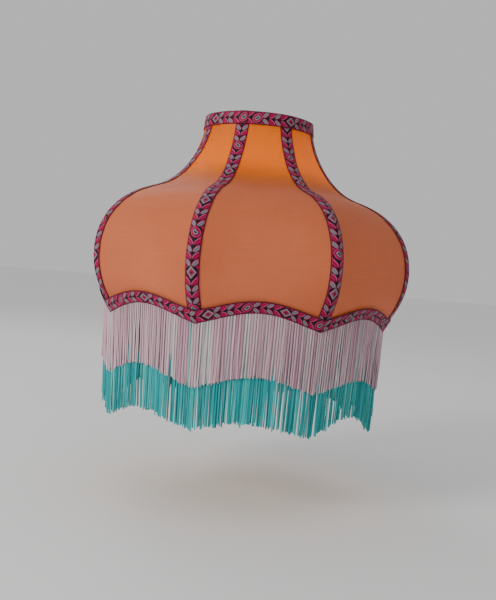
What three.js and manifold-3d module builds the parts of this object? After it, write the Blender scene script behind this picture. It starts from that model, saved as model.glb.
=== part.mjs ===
// Crown-shaped fabric lamp shade with eight bowed ribs, a tilting fitter and a two-tier fringe.
// Millimetres, +Z up. The origin is the centre of the fitter ring's underside, which rests on the lamp.
import * as THREE from 'three';
import { mergeVertices } from 'three/addons/utils/BufferGeometryUtils.js';
import Module from 'manifold-3d';

const wasm = await Module();
wasm.setup();

const { cos, sin, PI, abs, hypot, max, min } = Math;
const radians = THREE.MathUtils.degToRad;

// ---------------------------------------------------------------- driving dimensions

// Outline of one rib, measured on the outside of the silk, from the top edge down.
const topRadius = 67;
const shoulderRadius = 138;
const bellyRadius = 201.5;
const footRadius = 175;
const shoulderDepth = 97.5;
const bellyDepth = 178.5;
const footDepth = 248;
const neckFlare = 0.5; // degrees that the neck leans in at the very top
const shoulderSlope = 16; // degrees below level where the neck turns into the belly
const footSlope = 61; // degrees from level where the rib ends
// How far each curve of the outline carries on straight from its two ends.
const neckCurveTop = 22;
const neckCurveEnd = 53;
const shoulderCurve = 24;
const bellyCurveUp = 52;
const bellyCurveDown = 30;
const footCurve = 31;

const ribCount = 8;
const scallopRise = 16.5; // height of the lower edge between two ribs, above their feet
const scallopReach = 90; // how far up the panel the scallop still shows

// Wire frame.
const wireRadius = 1.75;
const ringDrop = 4; // top ring's centre below the silk's top edge
const bottomWireDrop = 4; // bottom wire's centre above the silk's lower edge

// Textiles.
const silk = 0.5;
const liningCloth = 0.4;
const ribbon = 0.8;
const trimWidth = 16;
const ribTrimWidth = 16;
const tape = 0.8; // woven heading of a fringe
const tapeHeight = 10.5;
const trimOverlap = 3.5; // how far a rib ribbon runs in under the top and bottom ribbons
const strandDepth = 1.8; // thickness of one hanging curtain of strands
const pinkFringeLength = 71;
const tealFringeLength = 122;
const fringeLean = 3; // degrees that the strands hang inwards

// Tilting fitter.
const fitterBore = 21;
const fitterOuter = 30;
const fitterPlate = 1.5;
const collarWall = 1.3;
const collarHeight = 5;
const fitterDrop = 32; // pivot above the fitter ring's underside
const pivotDrop = 11; // pivot below the silk's top edge
const armWidth = 8;
const armPlate = 1.5;
const armEye = 5; // radius of the arm's round end
const armKnee = 14; // height of the bend where the arm turns in to the ring
const armFoot = 9; // length of the arm's flat foot on the ring
const hangerPlate = 1.2;
const hangerReach = 9; // how far the hanger's cheeks reach below the pivot
const hangerSetback = 2.8; // from the top ring's inside to the hanger
const hangerCheek = 2.4; // how far the cheeks stand in from the hanger's back
const tiltLimit = 25; // degrees each way before the arm meets a cheek
const rivetRadius = 2;
const rivetHead = 3.6;
const rivetHeadHeight = 1;

// Clearances.
const gap = 0.3; // between pieces that touch on the real shade
const seam = 0.4; // between neighbouring panels
const runningGap = 0.25; // round the rivet
const stopGap = 0.2; // left between arm and cheek at the end of the tilt

// Fineness of the faceted surfaces.
const colsPerPanel = 6;
const bodyRows = 12; // between the top and bottom ribbons
const wireSides = 6;
const ringSteps = 40;

// ---------------------------------------------------------------- materials

function finish(color, roughness, metalness = 0) {
  return new THREE.MeshStandardMaterial({ color, roughness, metalness });
}

const look = {
  wire: () => finish(0xb9b4a8, 0.6, 0.2),
  fitting: () => finish(0xb08d4c, 0.35, 0.9),
  rivet: () => finish(0x8f8a80, 0.4, 0.9),
  lining: () => finish(0xe9cfb4, 0.85),
  silk: () => finish(0xc47a54, 0.6),
  ribbon: () => finish(0x9c2350, 0.7),
  pink: () => finish(0xc79fae, 0.75),
  teal: () => finish(0x2aa3a6, 0.7),
};

// ---------------------------------------------------------------- shade surface

const halfPanel = PI / ribCount;
const panelTurn = 2 * halfPanel;
const pivotZ = fitterDrop;
const topZ = pivotZ + pivotDrop;

function polar(radius, angle, z = 0) {
  return new THREE.Vector3(radius * cos(angle), radius * sin(angle), z);
}

function toward(x, y, length, degrees) {
  const angle = radians(degrees);
  return new THREE.Vector2(x + length * cos(angle), y + length * sin(angle));
}

// The rib's outline as (radius, height) points, in three curves that run smoothly into each other.
function ribOutline() {
  const top = new THREE.Vector2(topRadius, topZ);
  const shoulder = new THREE.Vector2(shoulderRadius, topZ - shoulderDepth);
  const belly = new THREE.Vector2(bellyRadius, topZ - bellyDepth);
  const foot = new THREE.Vector2(footRadius, topZ - footDepth);
  const outline = new THREE.CurvePath();
  outline.add(new THREE.CubicBezierCurve(
    top,
    toward(top.x, top.y, neckCurveTop, -90 - neckFlare),
    toward(shoulder.x, shoulder.y, neckCurveEnd, 180 - shoulderSlope),
    shoulder,
  ));
  outline.add(new THREE.CubicBezierCurve(
    shoulder,
    toward(shoulder.x, shoulder.y, shoulderCurve, -shoulderSlope),
    toward(belly.x, belly.y, bellyCurveUp, 90),
    belly,
  ));
  outline.add(new THREE.CubicBezierCurve(
    belly,
    toward(belly.x, belly.y, bellyCurveDown, -90),
    toward(foot.x, foot.y, footCurve, footSlope),
    foot,
  ));
  return outline;
}

const outline = ribOutline();
const ribLength = outline.getLength();
const shoulderRun = outline.getCurveLengths()[0];
const bellyRun = outline.getCurveLengths()[1];

// Distances down the rib at which every layer of cloth has a row of points.
function layoutRows() {
  const body = ribLength - 2 * trimWidth;
  const rows = [0];
  for (let i = 0; i <= bodyRows; i += 1) rows.push(trimWidth + (body * i) / bodyRows);
  rows.push(ribLength);
  return rows;
}

const rowRuns = layoutRows();
const lastRow = rowRuns.length - 1;

// The row number, with its fraction, at a distance down the rib.
function rowAt(run) {
  const next = rowRuns.findIndex((value, i) => i > 0 && (value >= run || i === lastRow));
  return next - 1 + (run - rowRuns[next - 1]) / (rowRuns[next] - rowRuns[next - 1]);
}

function mix(a, b, share) {
  return a + (b - a) * share;
}

function ease(share) {
  const t = min(max(share, 0), 1);
  return t * t * (3 - 2 * t);
}

// How flat a panel is between its ribs: 0 follows a circle, 1 is straight, above 1 sags inwards.
const flatKnots = [
  [0, 0],
  [shoulderRun * 0.55, 0.5],
  [shoulderRun, 0.45],
  [mix(shoulderRun, bellyRun, 0.6), 1.12],
  [bellyRun, 1.12],
  [ribLength, 0],
];

function flatness(run) {
  const next = max(1, flatKnots.findIndex(([at], i) => i > 0 && at >= run - 1e-6));
  const [fromRun, from] = flatKnots[next - 1];
  const [toRun, to] = flatKnots[next];
  return mix(from, to, ease((run - fromRun) / (toRun - fromRun)));
}

// Height of the scallop across one panel, from 0 at a rib to 1 in the middle.
function arch(share) {
  const bow = 4 * share * (1 - share);
  const wave = (1 - cos(2 * PI * share)) / 2;
  return 0.6 * bow + 0.4 * wave;
}

// A point of the rib's outline at a whole row, moved out by lift, square to the outline.
function outlineAt(row, lift) {
  const share = rowRuns[row] / ribLength;
  const point = outline.getPointAt(share);
  const along = outline.getTangentAt(share);
  return new THREE.Vector2(point.x - along.y * lift, point.y + along.x * lift);
}

// The angle of a whole column from the panel's middle. The first and the last column are as wide
// as half a rib ribbon, and the others share what is left.
function columnTurn(col, row) {
  const edge = halfPanel - ribTrimWidth / 2 / outlineAt(row, 0).x;
  const fromMiddle = col - colsPerPanel / 2;
  if (abs(fromMiddle) === colsPerPanel / 2) return Math.sign(fromMiddle) * halfPanel;
  return (fromMiddle * edge) / (colsPerPanel / 2 - 1);
}

function gridPoint(panel, col, row, lift) {
  const run = rowRuns[row];
  const { x: radius, y: height } = outlineAt(row, lift);
  const turn = columnTurn(col, row);
  const draw = (cos(halfPanel) / cos(turn)) ** flatness(run);
  const share = (turn + halfPanel) / panelTurn;
  const scallop = scallopRise * arch(share) * ease(1 - (ribLength - run) / scallopReach);
  return polar(radius * draw, panel * panelTurn + turn, height + scallop);
}

// A point of the shade's surface. Between the rows and columns the surface is straight, in every
// layer alike, so the layers stay parallel.
function shadePoint(panel, col, row, lift) {
  const col0 = min(Math.floor(col), colsPerPanel - 1);
  const row0 = min(Math.floor(row), lastRow - 1);
  const left = gridPoint(panel, col0, row0, lift).lerp(gridPoint(panel, col0, row0 + 1, lift), row - row0);
  const right = gridPoint(panel, col0 + 1, row0, lift)
    .lerp(gridPoint(panel, col0 + 1, row0 + 1, lift), row - row0);
  return left.lerp(right, col - col0);
}

// The column number at a short distance along the panel from its first rib.
function colAcross(distance) {
  return distance / (ribTrimWidth / 2);
}

// ---------------------------------------------------------------- solids

// A closed sheet with thickness. place(i, j, side) gives the points, side 1 outside and 0 inside,
// with i running anticlockwise seen from above and j running down.
function sheetSolid(iCount, jCount, place, closed = false) {
  const positions = [];
  const index = [];
  const across = closed ? iCount : iCount + 1;
  for (const side of [1, 0]) {
    for (let j = 0; j <= jCount; j += 1) {
      for (let i = 0; i < across; i += 1) positions.push(...place(i, j, side).toArray());
    }
  }
  const at = (i, j, side) => (side ? 0 : across * (jCount + 1)) + j * across + (i % across);
  const quad = (a, b, c, d) => index.push(a, b, c, a, c, d);
  for (let j = 0; j < jCount; j += 1) {
    for (let i = 0; i < iCount; i += 1) {
      quad(at(i, j, 1), at(i, j + 1, 1), at(i + 1, j + 1, 1), at(i + 1, j, 1));
      quad(at(i, j, 0), at(i + 1, j, 0), at(i + 1, j + 1, 0), at(i, j + 1, 0));
    }
  }
  for (let i = 0; i < iCount; i += 1) {
    quad(at(i, 0, 0), at(i, 0, 1), at(i + 1, 0, 1), at(i + 1, 0, 0));
    quad(at(i, jCount, 1), at(i, jCount, 0), at(i + 1, jCount, 0), at(i + 1, jCount, 1));
  }
  for (let j = 0; j < jCount && !closed; j += 1) {
    quad(at(0, j, 1), at(0, j, 0), at(0, j + 1, 0), at(0, j + 1, 1));
    quad(at(iCount, j, 0), at(iCount, j, 1), at(iCount, j + 1, 1), at(iCount, j + 1, 0));
  }
  const geometry = new THREE.BufferGeometry();
  geometry.setAttribute('position', new THREE.Float32BufferAttribute(positions, 3));
  geometry.setIndex(index);
  geometry.computeVertexNormals();
  return geometry;
}

// A round bar along a list of points, square to the path at each of them.
function barSolid(points, radius, sides, closed = false) {
  const count = points.length;
  const rings = points.map((point, i) => {
    const before = closed ? points[(i + count - 1) % count] : points[max(i - 1, 0)];
    const after = closed ? points[(i + 1) % count] : points[min(i + 1, count - 1)];
    const along = after.clone().sub(before).normalize();
    const out = new THREE.Vector3(point.x, point.y, 0).normalize();
    out.addScaledVector(along, -out.dot(along)).normalize();
    const side = new THREE.Vector3().crossVectors(along, out);
    return Array.from({ length: sides }, (_, k) => {
      const angle = (2 * PI * k) / sides;
      return point.clone()
        .addScaledVector(out, radius * cos(angle))
        .addScaledVector(side, radius * sin(angle));
    });
  });
  const positions = rings.flat().flatMap((corner) => corner.toArray());
  const index = [];
  const spans = closed ? count : count - 1;
  for (let i = 0; i < spans; i += 1) {
    for (let k = 0; k < sides; k += 1) {
      const a = i * sides + k;
      const b = i * sides + ((k + 1) % sides);
      const c = ((i + 1) % count) * sides + ((k + 1) % sides);
      const d = ((i + 1) % count) * sides + k;
      index.push(a, b, c, a, c, d);
    }
  }
  for (let k = 1; k < sides - 1 && !closed; k += 1) {
    const end = (count - 1) * sides;
    index.push(0, k + 1, k, end, end + k, end + k + 1);
  }
  const geometry = new THREE.BufferGeometry();
  geometry.setAttribute('position', new THREE.Float32BufferAttribute(positions, 3));
  geometry.setIndex(index);
  geometry.computeVertexNormals();
  return geometry;
}

function toManifold(geometry) {
  const bare = geometry.clone();
  bare.deleteAttribute('normal');
  bare.deleteAttribute('uv');
  const merged = mergeVertices(bare, 1e-4);
  return new wasm.Manifold(new wasm.Mesh({
    numProp: 3,
    vertProperties: merged.attributes.position.array,
    triVerts: new Uint32Array(merged.index.array),
  }));
}

function fromManifold(solid) {
  const mesh = solid.getMesh();
  const geometry = new THREE.BufferGeometry();
  geometry.setAttribute('position', new THREE.Float32BufferAttribute(mesh.vertProperties, 3));
  geometry.setIndex(Array.from(mesh.triVerts));
  return geometry;
}

// A shape drawn in X and Z, extruded along Y and centred on it.
function extrudeAcross(shape, depth) {
  const geometry = new THREE.ExtrudeGeometry(shape, { depth, bevelEnabled: false });
  return geometry.translate(0, 0, -depth / 2).rotateX(PI / 2);
}

// A shape drawn in Y and Z, extruded along X from one place to another.
function extrudeOut(shape, from, to) {
  const options = { depth: to - from, bevelEnabled: false, curveSegments: 8 };
  const geometry = new THREE.ExtrudeGeometry(shape, options);
  return geometry.rotateX(PI / 2).rotateZ(PI / 2).translate(from, 0, 0);
}

// The outline of a bent strip: its centre line given, half the plate on each side, corners mitred.
function stripShape(points, plate) {
  const normals = points.slice(1).map((point, i) => {
    const along = point.clone().sub(points[i]).normalize();
    return new THREE.Vector2(-along.y, along.x);
  });
  const side = (sign) => points.map((point, i) => {
    const a = normals[max(i - 1, 0)];
    const b = normals[min(i, normals.length - 1)];
    const mitre = a.clone().add(b).normalize();
    return point.clone().addScaledVector(mitre, (sign * plate) / 2 / mitre.dot(a));
  });
  return new THREE.Shape([...side(1), ...side(-1).reverse()]);
}

// A cylinder along X that drills a rivet hole through a plate at x and z.
function drill(radius, x, z) {
  const length = 6 * hangerPlate;
  return new THREE.CylinderGeometry(radius, radius, length, 16).rotateZ(PI / 2).translate(x, 0, z);
}

// ---------------------------------------------------------------- assembly

const shade = new THREE.Group();
const fitter = new THREE.Group();

function piece(group, name, geometry, material) {
  const mesh = new THREE.Mesh(geometry, material);
  mesh.name = name;
  group.add(mesh);
  return mesh;
}

// Depth of a wire's centre below the outside of the silk. The wire lies in the crease between two
// panels, so it sits a little deeper than its radius.
const creaseShare = cos(halfPanel * 1.15);
const wireDepth = (silk + gap + liningCloth + gap + wireRadius) / creaseShare;

function ribPoints(fromRow, toRow) {
  const rows = [fromRow];
  for (let row = Math.floor(fromRow) + 1; row < toRow; row += 1) rows.push(row);
  rows.push(toRow);
  return rows.map((row) => shadePoint(0, 0, row, -wireDepth));
}

const topRingZ = topZ - ringDrop;
const topRingRadius = hypot(...ribPoints(0, 1)[0].setZ(0).toArray());

function wireRing(radius, z) {
  const points = Array.from({ length: ringSteps }, (_, i) => polar(radius, (2 * PI * i) / ringSteps, z));
  return barSolid(points, wireRadius, wireSides, true);
}

function buildFrame() {
  piece(shade, 'top_ring', wireRing(topRingRadius, topRingZ), look.wire());

  // The shoulder ring lies inside the ribs, where the neck turns into the belly.
  const shoulderPoint = shadePoint(0, 0, rowAt(shoulderRun), -wireDepth - 2 * wireRadius - gap);
  const shoulderRingRadius = hypot(shoulderPoint.x, shoulderPoint.y);
  piece(shade, 'shoulder_ring', wireRing(shoulderRingRadius, shoulderPoint.z), look.wire());

  const ribTopRow = rowAt(ringDrop + wireRadius + gap);
  const ribFootRow = rowAt(ribLength - bottomWireDrop + wireRadius);
  for (let k = 0; k < ribCount; k += 1) {
    const bar = barSolid(ribPoints(ribTopRow, ribFootRow), wireRadius, wireSides);
    const rib = piece(shade, `rib_${k + 1}`, bar, look.wire());
    rib.rotation.z = k * panelTurn;
  }

  const wireRow = rowAt(ribLength - bottomWireDrop);
  const endCol = colAcross(2 * wireRadius + gap);
  const wirePoints = [shadePoint(0, endCol, wireRow, -wireDepth)];
  for (let col = 1; col < colsPerPanel; col += 1) wirePoints.push(shadePoint(0, col, wireRow, -wireDepth));
  wirePoints.push(shadePoint(0, colsPerPanel - endCol, wireRow, -wireDepth));
  for (let k = 0; k < ribCount; k += 1) {
    const bar = barSolid(wirePoints, wireRadius, wireSides);
    const wire = piece(shade, `bottom_wire_${k + 1}`, bar, look.wire());
    wire.rotation.z = k * panelTurn;
  }
}

// One panel of cloth between two ribs, with its outside at the given lift.
function panelCloth(thickness, lift) {
  const edge = colAcross(seam / 2);
  return sheetSolid(colsPerPanel, lastRow, (i, j, side) => {
    const col = min(max(i, edge), colsPerPanel - edge);
    return shadePoint(0, col, j, lift - (side ? 0 : thickness));
  });
}

function buildPanels() {
  for (let k = 0; k < ribCount; k += 1) {
    const cover = piece(shade, `cover_panel_${k + 1}`, panelCloth(silk, 0), look.silk());
    const lining = piece(shade, `lining_panel_${k + 1}`, panelCloth(liningCloth, -silk - gap), look.lining());
    cover.rotation.z = k * panelTurn;
    lining.rotation.z = k * panelTurn;
  }
}

// Heights of the layers sewn on over the silk.
const firstLayer = gap;
const secondLayer = firstLayer + ribbon + gap;
const thirdLayer = secondLayer + tape + gap;

// A ribbon down one rib, folded over it, half on each of the two panels.
function ribRibbon() {
  const fromRow = rowAt(trimWidth - trimOverlap);
  const toRow = rowAt(ribLength - trimWidth + trimOverlap);
  const rows = [fromRow];
  for (let row = Math.floor(fromRow) + 1; row < toRow; row += 1) rows.push(row);
  rows.push(toRow);
  return sheetSolid(2, rows.length - 1, (i, j, side) => {
    const lift = firstLayer + (side ? ribbon : 0);
    if (i === 0) return shadePoint(-1, colsPerPanel - 1, rows[j], lift);
    return shadePoint(0, i - 1, rows[j], lift);
  });
}

// A band right round the shade between two distances down the rib.
function roundBand(fromRun, toRun, lift, thickness) {
  const rows = [rowAt(fromRun), rowAt(toRun)];
  const place = (i, j, side) => {
    const panel = Math.floor(i / colsPerPanel);
    return shadePoint(panel, i % colsPerPanel, rows[j], lift + (side ? thickness : 0));
  };
  return sheetSolid(ribCount * colsPerPanel, 1, place, true);
}

// The hanging strands: a thin curtain below the lower ribbon, straight down and a little inwards.
function fringeCurtain(outerLift, length) {
  const outerEdge = thirdLayer + ribbon;
  const steps = 3;
  const lean = Math.tan(radians(fringeLean));
  const place = (i, j, side) => {
    const panel = Math.floor(i / colsPerPanel);
    const edge = shadePoint(panel, i % colsPerPanel, lastRow, outerEdge);
    const start = shadePoint(panel, i % colsPerPanel, lastRow, outerLift);
    const drop = (length * j) / steps;
    const inward = drop * lean + (side ? 0 : strandDepth);
    const radius = hypot(start.x, start.y) - inward;
    return polar(radius, Math.atan2(start.y, start.x), edge.z - gap - drop);
  };
  return sheetSolid(ribCount * colsPerPanel, steps, place, true);
}

function buildTrims() {
  const tapeTop = ribLength - tapeHeight;
  for (let k = 0; k < ribCount; k += 1) {
    const trim = piece(shade, `rib_ribbon_${k + 1}`, ribRibbon(), look.ribbon());
    trim.rotation.z = k * panelTurn;
  }
  piece(shade, 'top_ribbon', roundBand(0, trimWidth, secondLayer, ribbon), look.ribbon());
  piece(shade, 'teal_fringe_heading', roundBand(tapeTop, ribLength, firstLayer, tape), look.teal());
  piece(shade, 'pink_fringe_heading', roundBand(tapeTop, ribLength, secondLayer, tape), look.pink());
  const bottomRibbon = roundBand(ribLength - trimWidth, ribLength, thirdLayer, ribbon);
  piece(shade, 'bottom_ribbon', bottomRibbon, look.ribbon());

  const pinkOuter = thirdLayer;
  const tealOuter = pinkOuter - (strandDepth + gap) / cos(radians(footSlope));
  piece(shade, 'pink_fringe', fringeCurtain(pinkOuter, pinkFringeLength), look.pink());
  piece(shade, 'teal_fringe', fringeCurtain(tealOuter, tealFringeLength), look.teal());
}

// Radii along X of the tilting fitter's pieces, worked inwards from the top ring.
const hangerOuter = topRingRadius * cos(PI / ringSteps) - wireRadius - hangerSetback;
const hangerInner = hangerOuter - hangerPlate;
const armOuter = hangerInner - gap;
const armCentre = armOuter - armPlate / 2;
const limitTurn = radians(tiltLimit);
const cheekHalf = armWidth / 2 / cos(limitTurn) + hangerReach * Math.tan(limitTurn) + stopGap;

// A hanger hooks over the top ring and holds the rivet that the arm turns on. Its two cheeks stop
// the arm at the ends of its tilt.
function hanger() {
  const width = 2 * (cheekHalf + hangerPlate);
  const hookZ = topRingZ + wireRadius + gap + hangerPlate / 2;
  const back = stripShape([
    new THREE.Vector2(hangerOuter - hangerPlate / 2, pivotZ - hangerReach),
    new THREE.Vector2(hangerOuter - hangerPlate / 2, hookZ),
    new THREE.Vector2(topRingRadius + wireRadius / 2, hookZ),
  ], hangerPlate);
  const cheekShape = new THREE.Shape([
    new THREE.Vector2(hangerInner - hangerCheek, pivotZ - hangerReach),
    new THREE.Vector2(hangerInner + hangerPlate / 2, pivotZ - hangerReach),
    new THREE.Vector2(hangerInner + hangerPlate / 2, pivotZ + armEye),
    new THREE.Vector2(hangerInner - hangerCheek, pivotZ),
  ]);
  const cheekAt = cheekHalf + hangerPlate / 2;
  let solid = toManifold(extrudeAcross(back, width));
  for (const side of [-1, 1]) {
    const cheek = extrudeAcross(cheekShape, hangerPlate).translate(0, side * cheekAt, 0);
    solid = solid.add(toManifold(cheek));
  }
  return fromManifold(solid.subtract(toManifold(drill(rivetRadius + runningGap, hangerOuter, pivotZ))));
}

// An arm drops from its rivet, turns in at the knee and lies flat on the fitter ring.
function arm() {
  const footZ = fitterPlate + gap + armPlate / 2;
  const footEnd = fitterBore + collarWall + gap;
  const strip = stripShape([
    new THREE.Vector2(armCentre, pivotZ + armEye + 1),
    new THREE.Vector2(armCentre, armKnee),
    new THREE.Vector2(footEnd + armFoot, footZ),
    new THREE.Vector2(footEnd, footZ),
  ], armPlate);
  const blank = new THREE.Shape();
  blank.moveTo(-armWidth / 2, 0);
  blank.lineTo(armWidth / 2, 0);
  blank.lineTo(armWidth / 2, pivotZ - armEye);
  blank.lineTo(armEye, pivotZ);
  blank.absarc(0, pivotZ, armEye, 0, PI, false);
  blank.lineTo(-armWidth / 2, pivotZ - armEye);
  blank.closePath();
  const bent = toManifold(extrudeAcross(strip, 4 * armWidth));
  const trimmed = bent.intersect(toManifold(extrudeOut(blank, 0, topRadius)));
  return fromManifold(trimmed.subtract(toManifold(drill(rivetRadius + runningGap, armCentre, pivotZ))));
}

// A rivet turned about the tilt axis, with a head inside the arm and one behind the hanger.
function rivet() {
  const innerEnd = armOuter - armPlate - gap;
  const outerEnd = hangerOuter + gap;
  const profile = [
    [0, innerEnd - rivetHeadHeight],
    [rivetHead * 0.7, innerEnd - rivetHeadHeight],
    [rivetHead, innerEnd - rivetHeadHeight / 2],
    [rivetHead, innerEnd],
    [rivetRadius, innerEnd],
    [rivetRadius, outerEnd],
    [rivetHead, outerEnd],
    [rivetHead, outerEnd + rivetHeadHeight / 2],
    [rivetHead * 0.7, outerEnd + rivetHeadHeight],
    [0, outerEnd + rivetHeadHeight],
  ].map(([r, x]) => new THREE.Vector2(r, x));
  return new THREE.LatheGeometry(profile, 16).rotateZ(-PI / 2).translate(0, 0, pivotZ);
}

function fitterRing() {
  const profile = [
    [fitterBore, 0],
    [fitterOuter, 0],
    [fitterOuter, fitterPlate],
    [fitterBore + collarWall, fitterPlate],
    [fitterBore + collarWall, collarHeight],
    [fitterBore, collarHeight],
    [fitterBore, 0],
  ].map(([r, z]) => new THREE.Vector2(r, z));
  return new THREE.LatheGeometry(profile, 48).rotateX(PI / 2);
}

function buildFitter() {
  piece(fitter, 'fitter_ring', fitterRing(), look.fitting());
  ['right', 'left'].forEach((name, k) => {
    const armPiece = piece(fitter, `fitter_arm_${name}`, arm(), look.fitting());
    const hangerPiece = piece(fitter, `hanger_${name}`, hanger(), look.fitting());
    const rivetPiece = piece(fitter, `pivot_rivet_${name}`, rivet(), look.rivet());
    for (const part of [armPiece, hangerPiece, rivetPiece]) part.rotation.z = k * PI;
  });
}

buildFrame();
buildPanels();
buildTrims();
buildFitter();

// The panels are numbered from the +X one, whose middle faces +X.
shade.name = 'shade';
fitter.name = 'fitter';
const lampShade = new THREE.Group();
lampShade.add(shade, fitter);

export default lampShade;
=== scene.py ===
"""Fringed crown lamp shade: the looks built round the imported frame. Everything is in metres."""
import math

import bmesh
import bpy
import numpy as np
from mathutils import Matrix, Vector


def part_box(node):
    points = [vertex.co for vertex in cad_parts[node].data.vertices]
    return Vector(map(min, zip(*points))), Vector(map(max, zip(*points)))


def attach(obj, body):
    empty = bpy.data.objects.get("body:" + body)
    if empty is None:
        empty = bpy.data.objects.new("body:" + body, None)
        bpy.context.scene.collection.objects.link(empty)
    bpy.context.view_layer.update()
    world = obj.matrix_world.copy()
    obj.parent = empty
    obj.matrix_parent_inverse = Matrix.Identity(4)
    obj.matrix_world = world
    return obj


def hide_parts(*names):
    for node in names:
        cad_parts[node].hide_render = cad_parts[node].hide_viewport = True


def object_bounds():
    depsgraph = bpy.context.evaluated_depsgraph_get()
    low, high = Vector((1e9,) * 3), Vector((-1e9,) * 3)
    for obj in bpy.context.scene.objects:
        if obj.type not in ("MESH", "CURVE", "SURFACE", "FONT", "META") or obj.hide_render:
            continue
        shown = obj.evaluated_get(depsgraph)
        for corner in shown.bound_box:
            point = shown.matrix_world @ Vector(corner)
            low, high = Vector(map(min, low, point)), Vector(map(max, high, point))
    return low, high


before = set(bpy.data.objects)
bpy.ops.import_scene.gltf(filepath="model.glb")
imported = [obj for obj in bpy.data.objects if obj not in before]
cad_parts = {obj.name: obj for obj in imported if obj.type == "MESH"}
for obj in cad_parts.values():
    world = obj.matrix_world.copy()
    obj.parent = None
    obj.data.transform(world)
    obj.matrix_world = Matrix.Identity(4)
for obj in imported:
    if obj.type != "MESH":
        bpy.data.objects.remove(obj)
cad_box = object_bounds()

MM = 0.001
RIBS = 8
PANEL_TURN = 2 * math.pi / RIBS
HALF_PANEL = PANEL_TURN / 2

# Layers of cloth, as distances out from the outside of the CAD silk.
SILK_LIFT = -0.25 * MM
LINING_LIFT = -0.9 * MM
RIBBON_THICK = 0.7 * MM
TAPE_THICK = 0.7 * MM
RIB_RIBBON_LIFT = 0.35 * MM
SECOND_LIFT = RIB_RIBBON_LIFT + RIBBON_THICK + 0.15 * MM
THIRD_LIFT = SECOND_LIFT + TAPE_THICK + 0.15 * MM
RIBBON_WIDTH = 16 * MM
HEADING_HEIGHT = 10.5 * MM
OVERLAP = 3.5 * MM  # how far the rib ribbons run in under the round ones
PANEL_TOP = 1 * MM  # silk and lining stop this far from the two edges
PANEL_FOOT = 0.5 * MM

# Wires, measured from the silk's surface and from the lower edge.
WIRE_RADIUS = 1.5 * MM
CAD_WIRE_RADIUS = 1.75 * MM
WIRE_DEPTH = -3.65 * MM
WIRE_STEP = 1.1 * MM
RIB_WIRE_TOP = 6.3 * MM  # clear of the top ring
RIB_WIRE_FOOT = 2.4 * MM
BOTTOM_WIRE_RISE = 4 * MM
BOTTOM_WIRE_START = 3.9 * MM  # clear of the ribs at both ends
BOTTOM_WIRE_END = 3.8 * MM
TAPE_PITCH = 6.5 * MM
TAPE_LAP = 0.28 * MM

# How far the silk stands off its smooth surface.
PUCKER = 0.16 * MM  # along the seams
SWELL = 0.35 * MM  # in the open panel

FLOOR_DROP = 0.095  # from the fringe's ends to the floor
BULB_DROP = 0.11  # from the foot of the top ribbon to the bulb

# The photograph's camera, in belly radii and degrees.
CAMERA_DISTANCE = 5.01
CAMERA_UNDER_TOP = 0.96
CAMERA_AZIMUTH = -5.73
CAMERA_PITCH = -1.77
CAMERA_YAW = 0.21
CAMERA_ROLL = 4.63
LENS_MM = 47.64


# ------------------------------------------------------- the shade's surface, read off the frame

def node_points(name):
    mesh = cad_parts[name].data
    points = np.zeros(len(mesh.vertices) * 3, np.float32)
    mesh.vertices.foreach_get("co", points)
    return np.unique(np.round(points.reshape(-1, 3).astype(float), 6), axis=0)


def outline_of(points):
    """The outer of two rows of points down a panel, as radii and heights, from the top."""
    radius = np.hypot(points[:, 0], points[:, 1])
    order = np.argsort(-points[:, 2])
    radius, height = radius[order].reshape(-1, 2), points[order, 2].reshape(-1, 2)
    outer = np.argmax(radius + height, axis=1)[:, None]
    return np.take_along_axis(radius, outer, 1)[:, 0], np.take_along_axis(height, outer, 1)[:, 0]


class Spline:
    """A smooth curve through knots, the natural cubic."""

    def __init__(self, x, y):
        self.x, self.y = np.asarray(x, float), np.asarray(y, float)
        n, h = len(x), np.diff(x)
        a, b = np.eye(n), np.zeros(n)
        for i in range(1, n - 1):
            a[i, i - 1:i + 2] = h[i - 1], 2 * (h[i - 1] + h[i]), h[i]
            b[i] = 6 * ((y[i + 1] - y[i]) / h[i] - (y[i] - y[i - 1]) / h[i - 1])
        self.bend = np.linalg.solve(a, b)

    def __call__(self, at):
        x, y, m = self.x, self.y, self.bend
        i = np.clip(np.searchsorted(x, at) - 1, 0, len(x) - 2)
        h, left, right = x[i + 1] - x[i], at - x[i], x[i + 1] - at
        cubic = (m[i] * right ** 3 + m[i + 1] * left ** 3) / (6 * h)
        line = (y[i] / h - m[i] * h / 6) * right + (y[i + 1] / h - m[i + 1] * h / 6) * left
        return cubic + line


def scallop(share):
    """Height of the lower edge across a panel, from 0 at a rib to 1 in the middle."""
    return 0.6 * 4 * share * (1 - share) + 0.2 * (1 - np.cos(2 * np.pi * share))


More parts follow.
